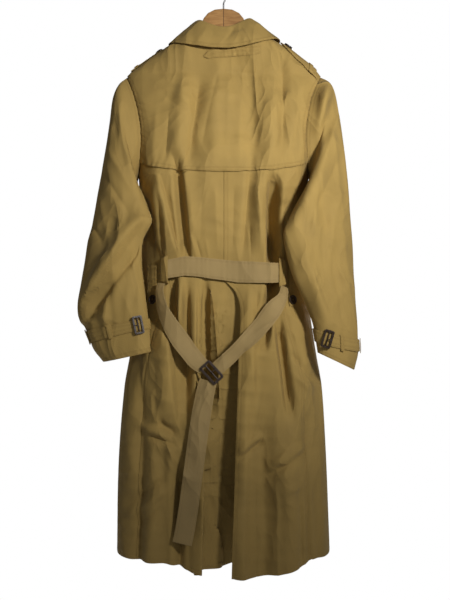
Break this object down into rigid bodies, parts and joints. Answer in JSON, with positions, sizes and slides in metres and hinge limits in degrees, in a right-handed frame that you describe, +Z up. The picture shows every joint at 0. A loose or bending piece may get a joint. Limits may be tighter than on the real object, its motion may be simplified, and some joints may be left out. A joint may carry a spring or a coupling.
{
  "type": "trench coat on a hanger",
  "caption": "Long belted cotton trench coat with storm flap, epaulettes and back vent, hanging on a wooden hanger by its wire hook",
  "frame": {"origin": "inner top of the hanger hook, where a rail bears", "axes": "+Z up, the coat's back faces -Y, its front +Y, +X to the right of a viewer behind it"},
  "size_m": [0.6357, 0.233, 1.3535],
  "materials": {
    "coat_cloth": "cotton gabardine with a slight sheen, golden khaki",
    "belt_cloth": "cotton gabardine, a little greyer khaki",
    "buttons": "dark horn look, satin",
    "buckles": "dark brown leather over a frame",
    "hanger_wood": "clear lacquered honey wood",
    "hook_wire": "bright wire"
  },
  "bodies": {
    "root": {"back_left": "coat_cloth", "back_right": "coat_cloth", "belt_band": "belt_cloth", "belt_buckle": "buckles", "belt_loop_left": "coat_cloth", "belt_loop_right": "coat_cloth", "belt_strap_left": "belt_cloth", "belt_strap_right": "belt_cloth", "belt_tail": "belt_cloth", "collar": "coat_cloth", "cuff_buckle_left": "buckles", "cuff_buckle_right": "buckles", "cuff_loop_left_1": "coat_cloth", "cuff_loop_left_2": "coat_cloth", "cuff_loop_right_1": "coat_cloth", "cuff_loop_right_2": "coat_cloth", "cuff_strap_left": "coat_cloth", "cuff_strap_right": "coat_cloth", "epaulette_button_left": "buttons", "epaulette_button_right": "buttons", "epaulette_left": "coat_cloth", "epaulette_loop_left": "coat_cloth", "epaulette_loop_right": "coat_cloth", "epaulette_right": "coat_cloth", "front_button_left_1": "buttons", "front_button_left_2": "buttons", "front_button_left_3": "buttons", "front_button_left_4": "buttons", "front_button_right_1": "buttons", "front_button_right_2": "buttons", "front_button_right_3": "buttons", "front_button_right_4": "buttons", "front_left": "coat_cloth", "front_right": "coat_cloth", "hanger_hook": "hook_wire", "hanger_wood": "hanger_wood", "lapel_left": "coat_cloth", "lapel_right": "coat_cloth", "pocket_button_left": "buttons", "pocket_button_right": "buttons", "pocket_welt_left": "coat_cloth", "pocket_welt_right": "coat_cloth", "sleeve_left": "coat_cloth", "sleeve_right": "coat_cloth", "storm_flap": "coat_cloth", "throat_latch": "coat_cloth"}
  },
  "joints": []
}
